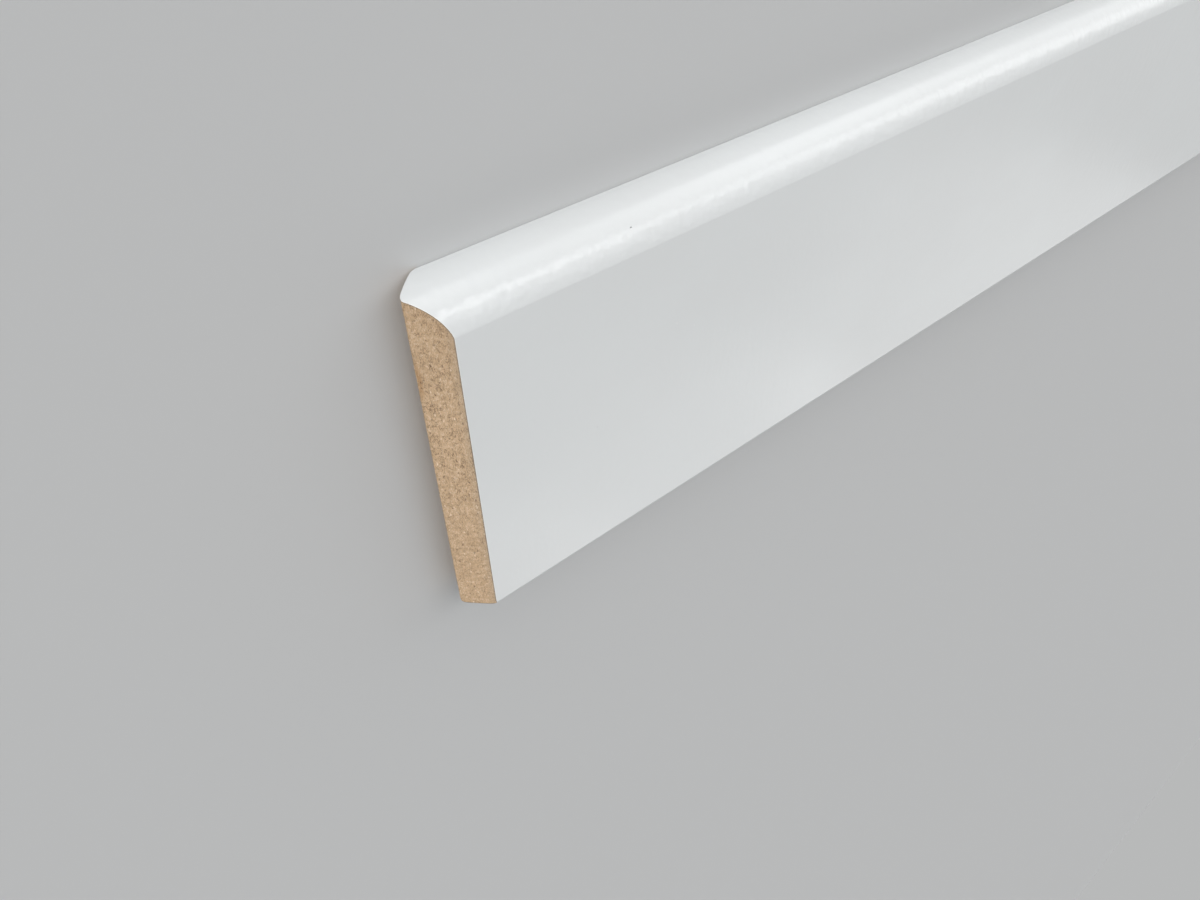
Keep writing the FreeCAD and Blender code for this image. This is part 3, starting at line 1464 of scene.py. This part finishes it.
@dataclass
class DustNibs:
    """Specks of dust under the coat, rare and small."""

    section: Section
    cut: float
    flatness: float = 0.1
    seen: tuple[Nib, ...] = (
        Nib(50.2 * MILLIMETRE, 2.78 * MILLIMETRE, 89.65 * MILLIMETRE, 0.62 * MILLIMETRE, 0.0),
        Nib(36.1 * MILLIMETRE, 0.0, 40.54 * MILLIMETRE, 0.4 * MILLIMETRE, 0.6),
        Nib(187.9 * MILLIMETRE, 0.0, 66.73 * MILLIMETRE, 0.5 * MILLIMETRE, 0.6),
        Nib(63.1 * MILLIMETRE, 0.0, 59.65 * MILLIMETRE, 0.3 * MILLIMETRE, 1.0),
        Nib(69.3 * MILLIMETRE, 0.0, 56.25 * MILLIMETRE, 0.3 * MILLIMETRE, 1.0),
    )

    @staticmethod
    def tree() -> bpy.types.NodeTree:
        """Build the tree that puts a flat dome on each point.

        Returns:
            A tree with named inputs, to run on points that have a size and a tone.
        """
        wiring = MeshWiring.group("domes_on_points")
        wiring.takes("Geometry", "Points")
        wiring.takes("Material", "Finish")
        wiring.takes("Float", "Flatness")
        dome = wiring.add("GeometryNodeMeshIcoSphere", {"Radius": 0.5, "Subdivisions": 3})
        flat = wiring.combine(1.0, 1.0, wiring.asked("Flatness"))
        inputs = {
            "Points": wiring.asked("Points"),
            "Instance": dome.outputs["Mesh"],
            "Scale": wiring.scaled(flat, wiring.read("size")),
        }
        placed = wiring.add("GeometryNodeInstanceOnPoints", inputs).outputs["Instances"]
        real = wiring.smooth(wiring.real(placed))
        wiring.gives("Geometry", Domes=wiring.covered(real, wiring.asked("Finish")))
        return wiring.tree

    def build(self, finish: bpy.types.Material) -> bpy.types.Object:
        """Place the specks.

        Args:
            finish: The specks' material.

        Returns:
            All specks as one mesh.
        """
        mesh = bpy.data.meshes.new("specks")
        spots = [
            self.section.spot(self.cut - nib.from_cut, nib.depth, nib.height) for nib in self.seen
        ]
        mesh.from_pydata(spots, [], [])
        for name in ("size", "tone"):
            stored = mesh.attributes.new(name, "FLOAT", "POINT")
            for number, nib in enumerate(self.seen):
                stored.data[number].value = getattr(nib, name)
        thing = new_object("coat_nibs", mesh)
        grown(thing, self.tree(), {"Finish": finish, "Flatness": self.flatness})
        return thing


@dataclass(frozen=True)
class SunRow:
    """A long soft light far away, parallel to the board, made of a row of sun lamps.

    All its angles are in degrees. The rise turns from -Y towards +Z, the width is that of
    each lamp's disc, and a lean is towards +X where it is above 0. The leans and strengths
    are those of the first lamp and the last, and change evenly between them.
    """

    name: str
    rise: float
    width: float
    leans: Span
    strengths: Span
    lamps: int
    colour: Colour = WHITE

    def build(self) -> None:
        """Add the lamps."""
        rise = math.radians(self.rise)
        for number in range(self.lamps):
            share = number / max(1, self.lamps - 1)
            lean = math.radians(self.part_way(self.leans, share))
            data = bpy.data.lights.new(f"{self.name}_{number}", "SUN")
            data.energy = self.part_way(self.strengths, share)
            data.angle = math.radians(self.width)
            data.color = self.colour
            lamp = bpy.data.objects.new(data.name, data)
            bpy.context.scene.collection.objects.link(lamp)
            out = math.cos(lean)
            towards = Vector((math.sin(lean), -out * math.cos(rise), out * math.sin(rise)))
            lamp.rotation_euler = towards.to_track_quat("Z", "Y").to_euler()

    @staticmethod
    def part_way(ends: Span, share: float) -> float:
        """A value between two ends."""
        return ends[0] + (ends[1] - ends[0]) * share


@dataclass
class Studio:
    """Plain pale floor, soft light and the camera of the photograph."""

    ambient: float = 0.2
    ambient_colour: Colour = (0.99, 0.995, 1.0)
    floor_colour: Colour = (0.567, 0.573, 0.575)
    floor_roughness: float = 0.9
    floor_reach: float = 60.0
    backdrop: Colour = (0.480, 0.486, 0.486)
    lens: float = 27.30
    sensor_width: float = 36.0
    clip_start: float = 0.01
    camera_place: Triple = (1.26720, -0.14133, 0.15187)
    camera_right: Triple = (-0.76340, 0.02716, 0.64536)
    camera_up: Triple = (-0.44324, -0.74879, -0.49280)
    rows: tuple[SunRow, ...] = (
        SunRow("key", 51.0, 15.0, leans=(-66.0, 20.0), strengths=(0.0185, 0.2145), lamps=9),
        SunRow("shoulder", 68.0, 18.0, leans=(-66.0, 20.0), strengths=(0.006, 0.071), lamps=9),
        SunRow("side", 12.0, 50.0, leans=(-60.0, 60.0), strengths=(0.397, 0.397), lamps=5),
        SunRow("end", 60.0, 50.0, leans=(60.0, 60.0), strengths=(0.83, 0.83), lamps=1),
        SunRow("foot", 150.0, 25.0, leans=(-50.0, 54.0), strengths=(0.074, 0.111), lamps=7),
    )

    def build(self) -> None:
        """Set up the floor, the lights, the world and the camera."""
        self.lay_floor()
        for row in self.rows:
            row.build()
        self.set_world()
        self.aim_camera()
        bpy.context.scene.view_settings.view_transform = "Standard"

    def lay_floor(self) -> None:
        """Lay a wide matt floor that isn't part of the board."""
        mesh = bpy.data.meshes.new("floor")
        sides = ((-1, -1), (1, -1), (1, 1), (-1, 1))
        corners = [(x * self.floor_reach, y * self.floor_reach, 0.0) for x, y in sides]
        mesh.from_pydata(corners, [], [(0, 1, 2, 3)])
        floor = new_object("floor", mesh)
        material, wiring, shader = new_material("pale_floor")
        wiring.feed(shader["Base Color"], self.floor_colour)
        shader["Roughness"].default_value = self.floor_roughness
        shader["Specular IOR Level"].default_value = 0.0
        mesh.materials.append(material)

    def set_world(self) -> None:
        """Light everything softly, and show a plain backdrop to the camera."""
        world = bpy.data.worlds.new("studio")
        world.use_nodes = True
        world.node_tree.nodes.clear()
        wiring = ShaderWiring(world.node_tree)
        inputs = {"Color": self.ambient_colour, "Strength": self.ambient}
        light = wiring.add("ShaderNodeBackground", inputs)
        seen = wiring.add("ShaderNodeBackground", {"Color": self.backdrop, "Strength": 1.0})
        path = wiring.add("ShaderNodeLightPath").outputs
        shown = wiring.math("MAXIMUM", path["Is Camera Ray"], path["Is Glossy Ray"])
        shown = wiring.math("MAXIMUM", shown, path["Is Transmission Ray"])
        inputs = {0: shown, 1: light.outputs[0], 2: seen.outputs[0]}
        both = wiring.add("ShaderNodeMixShader", inputs)
        wiring.add("ShaderNodeOutputWorld", {"Surface": both.outputs[0]})
        bpy.context.scene.world = world

    def aim_camera(self) -> None:
        """Put the camera where the photograph was taken from."""
        data = bpy.data.cameras.new("camera")
        data.lens = self.lens
        data.sensor_width = self.sensor_width
        data.clip_start = self.clip_start
        data.clip_end = 4 * self.floor_reach
        camera = bpy.data.objects.new("camera", data)
        bpy.context.scene.collection.objects.link(camera)
        right, up = Vector(self.camera_right), Vector(self.camera_up)
        turn = Matrix((right, up, right.cross(up))).transposed().to_4x4()
        camera.matrix_world = Matrix.Translation(self.camera_place) @ turn
        bpy.context.scene.camera = camera


def main() -> None:
    """Build the board and its small pieces in order, then the studio."""
    logging.basicConfig(level=logging.INFO, format="%(message)s")
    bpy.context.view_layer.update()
    low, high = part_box(BOARD_NODE)
    section = Section(height=high.y - low.y, thickness=high.z - low.z)
    groups = SharedGroups(section)
    board = Board(section, square_end=low.x, point=high.x)
    finishes = {
        Zone.COAT: CoatFinish().material(groups, board.point),
        Zone.CUT: CutFinish().material(groups),
        Zone.BACK: BackFinish().material(groups),
    }
    body = board.build(finishes)
    CutMarks(board).press(body)
    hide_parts(BOARD_NODE)
    declare(body)
    declare(LooseFibres().build(body, finishes[Zone.CUT], LooseFibreFinish().material(groups)))
    nibs = DustNibs(section, board.point - section.point_depth)
    declare(nibs.build(NibFinish().material(groups)))
    Studio().build()


if __name__ == "__main__":
    main()
